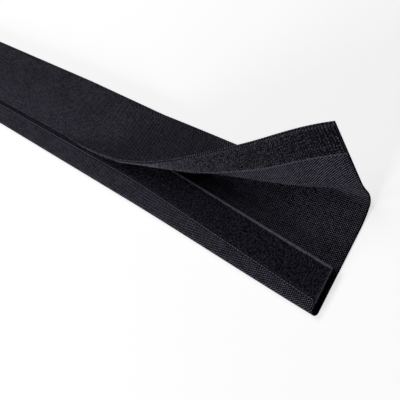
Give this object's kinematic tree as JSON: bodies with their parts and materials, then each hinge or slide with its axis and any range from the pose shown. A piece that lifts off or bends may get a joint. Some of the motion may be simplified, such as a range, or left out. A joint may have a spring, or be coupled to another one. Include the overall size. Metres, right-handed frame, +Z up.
{
  "type": "hook-and-loop cable sleeve",
  "caption": "Flat textile sleeve that bundles cables, folded from woven cloth and closed lengthwise by hook and loop tape, peeled open towards one end.",
  "frame": {"origin": "middle of the sleeve's footprint box, on the surface it lies on", "axes": "+X along the sleeve towards its peeled open end, +Y from the near fold to the far fold, +Z up"},
  "size_m": [0.6, 0.0888, 0.0504],
  "materials": {
    "woven_cloth": "black polyester canvas in a plain weave, matt with a soft sheen",
    "loop_pile": "dense brushed black pile, deep matt",
    "hooks": "black nylon hooks, glossy at their tips",
    "thread": "dark grey polyester sewing thread"
  },
  "bodies": {
    "root": {"fabric_sleeve": "woven_cloth", "loop_tape": "loop_pile", "hook_tape": "hooks", "loop_tape_outer_seam": "thread", "loop_tape_inner_seam": "thread", "hook_tape_outer_seam": "thread", "hook_tape_inner_seam": "thread"}
  },
  "joints": []
}
